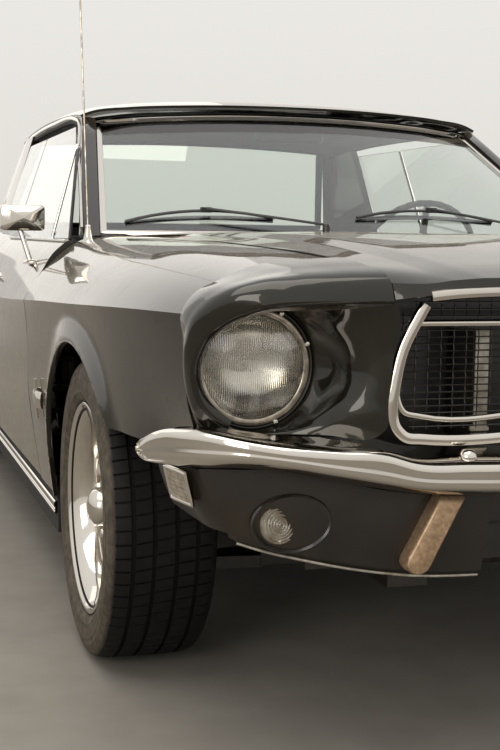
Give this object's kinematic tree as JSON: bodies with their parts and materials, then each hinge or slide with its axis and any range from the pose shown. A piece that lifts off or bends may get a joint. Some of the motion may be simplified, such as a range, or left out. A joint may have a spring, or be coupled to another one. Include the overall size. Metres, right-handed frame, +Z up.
{
  "type": "two-door hardtop muscle car",
  "caption": "Late-1960s style two-door hardtop coupe with opening doors, hood and trunk lid, steered front wheels and turning wheels.",
  "frame": {"origin": "on the floor under the middle of the overall length and width", "axes": "+Z up, nose towards -Y, the car's right side at -X"},
  "size_m": [1.832, 4.663, 1.56],
  "materials": {
    "body_paint": "gloss clear coat over dark grey-green metallic",
    "chrome": "polished, lightly weathered",
    "glass": "clear",
    "lamp_glass": "fluted",
    "amber_lens": "clear amber",
    "red_lens": "ribbed red",
    "black_metal": "satin black",
    "under_body": "dull black undercoat",
    "valance_paint": "satin dark grey",
    "guard_metal": "satin",
    "cast_metal": "rough",
    "tyre": "matt black rubber",
    "seat_vinyl": "grained black vinyl",
    "interior_plastic": "grained black"
  },
  "bodies": {
    "body": {"front_fenders": "body_paint", "quarter_panels": "body_paint", "roof": "body_paint", "windshield": "glass", "rear_window": "glass", "quarter_glass": "glass", "floor_pan": "under_body", "firewall_and_aprons": "under_body", "engine_block": "cast_metal", "headlamp_buckets": "body_paint", "headlamps": "lamp_glass", "grille_surround": "chrome", "grille": "black_metal", "front_bumper": "chrome", "front_valance": "valance_paint", "parking_lamps": "lamp_glass", "bumper_guards": "guard_metal", "side_marker_lamps": "lamp_glass", "back_panel": "body_paint", "tail_panel": "body_paint", "tail_lamps": "red_lens", "rear_bumper": "chrome", "rear_valance": "valance_paint", "rocker_mouldings": "chrome", "antenna": "chrome", "wipers": "black_metal", "dashboard": "interior_plastic", "front_seats": "seat_vinyl", "rear_seat": "seat_vinyl", "front_suspension": "under_body", "rear_axle": "cast_metal", "exhaust_system": "cast_metal"},
    "hood": {"hood": "body_paint"},
    "trunk_lid": {"trunk_lid": "body_paint"},
    "steering_wheel": {"steering_wheel": "interior_plastic"},
    "door_right": {"door_right": "body_paint", "door_glass_right": "glass", "mirror_right": "chrome"},
    "knuckle_right": {"knuckle_right": "cast_metal"},
    "wheel_front_right": {"wheel_front_right": "chrome", "tyre_front_right": "tyre"},
    "wheel_rear_right": {"wheel_rear_right": "chrome", "tyre_rear_right": "tyre"},
    "door_left": {"door_left": "body_paint", "door_glass_left": "glass", "mirror_left": "chrome"},
    "knuckle_left": {"knuckle_left": "cast_metal"},
    "wheel_front_left": {"wheel_front_left": "chrome", "tyre_front_left": "tyre"},
    "wheel_rear_left": {"wheel_rear_left": "chrome", "tyre_rear_left": "tyre"}
  },
  "joints": [
    {"name": "hood_open", "type": "hinge", "parent": "body", "child": "hood", "pos_m": [0, -0.8915, 0.854], "axis": [-1, 0, 0], "range_deg": [0, 45]},
    {"name": "trunk_open", "type": "hinge", "parent": "body", "child": "trunk_lid", "pos_m": [0, 1.3985, 0.878], "axis": [1, 0, 0], "range_deg": [0, 70]},
    {"name": "door_right_open", "type": "hinge", "parent": "body", "child": "door_right", "pos_m": [-0.848, -0.8155, 0.55], "axis": [0, 0, 1], "range_deg": [0, 65]},
    {"name": "door_left_open", "type": "hinge", "parent": "body", "child": "door_left", "pos_m": [0.848, -0.8155, 0.55], "axis": [0, 0, -1], "range_deg": [0, 65]},
    {"name": "steer_left", "type": "hinge", "parent": "body", "child": "knuckle_left", "pos_m": [0.658, -1.4215, 0.314], "axis": [0, 0, 1], "range_deg": [-30, 30]},
    {"name": "steer_right", "type": "hinge", "parent": "body", "child": "knuckle_right", "pos_m": [-0.658, -1.4215, 0.314], "axis": [0, 0, 1], "range_deg": [-30, 30]},
    {"name": "steering_wheel_turn", "type": "hinge", "parent": "body", "child": "steering_wheel", "pos_m": [0.37, -0.4115, 0.8], "axis": [0, 0.9272, 0.3746], "range_deg": [-481, 481]},
    {"name": "spin_front_right", "type": "hinge", "parent": "knuckle_right", "child": "wheel_front_right", "pos_m": [-0.743, -1.4215, 0.314], "axis": [1, 0, 0], "continuous": true},
    {"name": "spin_rear_right", "type": "hinge", "parent": "body", "child": "wheel_rear_right", "pos_m": [-0.743, 1.3215, 0.314], "axis": [1, 0, 0], "continuous": true},
    {"name": "spin_front_left", "type": "hinge", "parent": "knuckle_left", "child": "wheel_front_left", "pos_m": [0.743, -1.4215, 0.314], "axis": [1, 0, 0], "continuous": true},
    {"name": "spin_rear_left", "type": "hinge", "parent": "body", "child": "wheel_rear_left", "pos_m": [0.743, 1.3215, 0.314], "axis": [1, 0, 0], "continuous": true}
  ],
  "couplings": [
    {"joint": "steer_right", "follows": "steer_left", "ratio": 1},
    {"joint": "steering_wheel_turn", "follows": "steer_left", "ratio": 16}
  ]
}
